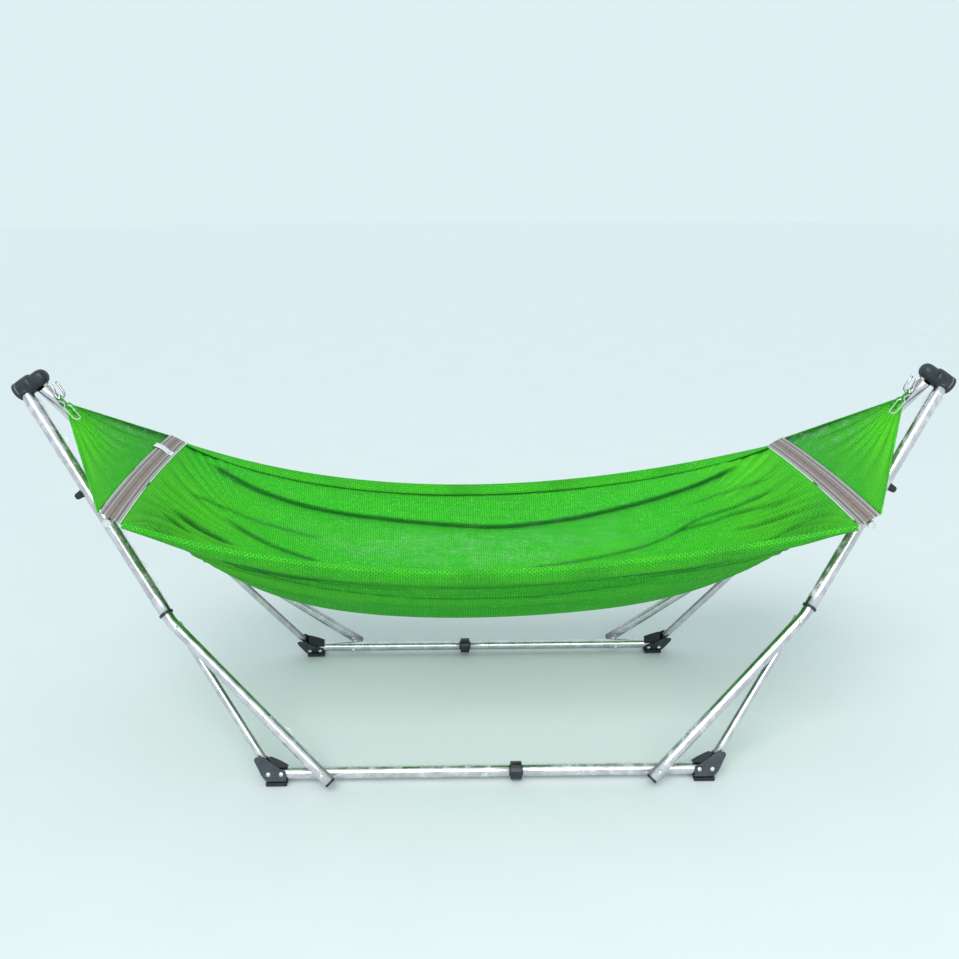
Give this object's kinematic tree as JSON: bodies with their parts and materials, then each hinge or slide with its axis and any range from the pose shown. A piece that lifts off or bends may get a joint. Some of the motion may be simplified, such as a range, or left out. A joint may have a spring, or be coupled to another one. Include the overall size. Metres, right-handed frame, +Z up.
{
  "type": "hammock on stand",
  "caption": "Net hammock with striped webbing ends, hung from hooks between two leaning side frames of round steel tube that meet in plastic heads and rest on level rubber shoes.",
  "frame": {"origin": "on the floor, under the middle of the stand", "axes": "+X along the hammock, towards its right end; +Y towards the rear side frame; +Z up"},
  "size_m": [2.722, 0.9138, 1.0735],
  "materials": {
    "polished_steel": "polished",
    "zinc_steel": "zinc plated",
    "black_plastic": "moulded satin",
    "slate_bracket": "satin powder coat",
    "black_rubber": "matt",
    "green_net": "knitted polyester net",
    "striped_webbing": "woven striped webbing"
  },
  "bodies": {
    "front_frame": {"front_rail_coupler": "black_plastic", "front_rail_long": "polished_steel", "front_rail_short": "polished_steel", "left_front_foot_bracket": "slate_bracket", "left_front_foot_pin": "zinc_steel", "left_front_foot_shoe": "black_rubber", "left_front_head_cap": "black_plastic", "left_front_leg": "polished_steel", "left_front_leg_bolt": "zinc_steel", "left_front_leg_end_plug": "black_plastic", "left_front_pole": "polished_steel", "left_front_pole_bumper": "black_rubber", "left_front_pole_collar": "black_plastic", "left_front_strut": "polished_steel", "left_front_strut_bolt": "zinc_steel", "right_front_foot_bracket": "slate_bracket", "right_front_foot_pin": "zinc_steel", "right_front_foot_shoe": "black_rubber", "right_front_head_cap": "black_plastic", "right_front_leg": "polished_steel", "right_front_leg_bolt": "zinc_steel", "right_front_leg_end_plug": "black_plastic", "right_front_pole": "polished_steel", "right_front_pole_bumper": "black_rubber", "right_front_pole_collar": "black_plastic", "right_front_strut": "polished_steel", "right_front_strut_bolt": "zinc_steel"},
    "rear_frame": {"left_rear_foot_bracket": "slate_bracket", "left_rear_foot_pin": "zinc_steel", "left_rear_foot_shoe": "black_rubber", "left_rear_head_cap": "black_plastic", "left_rear_leg": "polished_steel", "left_rear_leg_bolt": "zinc_steel", "left_rear_pole": "polished_steel", "left_rear_pole_collar": "black_plastic", "left_rear_strut": "polished_steel", "left_rear_strut_bolt": "zinc_steel", "rear_rail_coupler": "black_plastic", "rear_rail_long": "polished_steel", "rear_rail_short": "polished_steel", "right_rear_foot_bracket": "slate_bracket", "right_rear_foot_pin": "zinc_steel", "right_rear_foot_shoe": "black_rubber", "right_rear_head_cap": "black_plastic", "right_rear_leg": "polished_steel", "right_rear_leg_bolt": "zinc_steel", "right_rear_pole": "polished_steel", "right_rear_pole_collar": "black_plastic", "right_rear_strut": "polished_steel", "right_rear_strut_bolt": "zinc_steel"},
    "hooks": {"left_hook": "polished_steel", "right_hook": "polished_steel"},
    "hammock": {"hammock_net": "green_net", "left_webbing_band": "striped_webbing", "right_webbing_band": "striped_webbing", "left_spreader_bar": "zinc_steel", "right_spreader_bar": "zinc_steel"},
    "left_snap_hook": {"left_snap_hook": "zinc_steel"},
    "right_snap_hook": {"right_snap_hook": "zinc_steel"}
  },
  "joints": [
    {"name": "rear_frame_fold", "type": "hinge", "parent": "front_frame", "child": "rear_frame", "pos_m": [0, 0, 1.05], "axis": [-1, 0, 0], "range_deg": [0, 30]},
    {"name": "hooks_follow", "type": "hinge", "parent": "front_frame", "child": "hooks", "pos_m": [0, 0, 1.05], "axis": [-1, 0, 0], "range_deg": [0, 15]},
    {"name": "hammock_swing", "type": "hinge", "parent": "hooks", "child": "hammock", "pos_m": [0, 0, 1.009], "axis": [1, 0, 0], "range_deg": [-16, 16]},
    {"name": "left_snap_hook_lift", "type": "hinge", "parent": "hammock", "child": "left_snap_hook", "pos_m": [-1.2225, 0, 1.009], "axis": [-0.6703, -0.7421, 0], "range_deg": [0, 40]},
    {"name": "right_snap_hook_lift", "type": "hinge", "parent": "hammock", "child": "right_snap_hook", "pos_m": [1.2225, 0, 1.009], "axis": [-0.6703, 0.7421, 0], "range_deg": [0, 40]}
  ],
  "couplings": [
    {"joint": "hooks_follow", "follows": "rear_frame_fold", "ratio": 0.5}
  ]
}
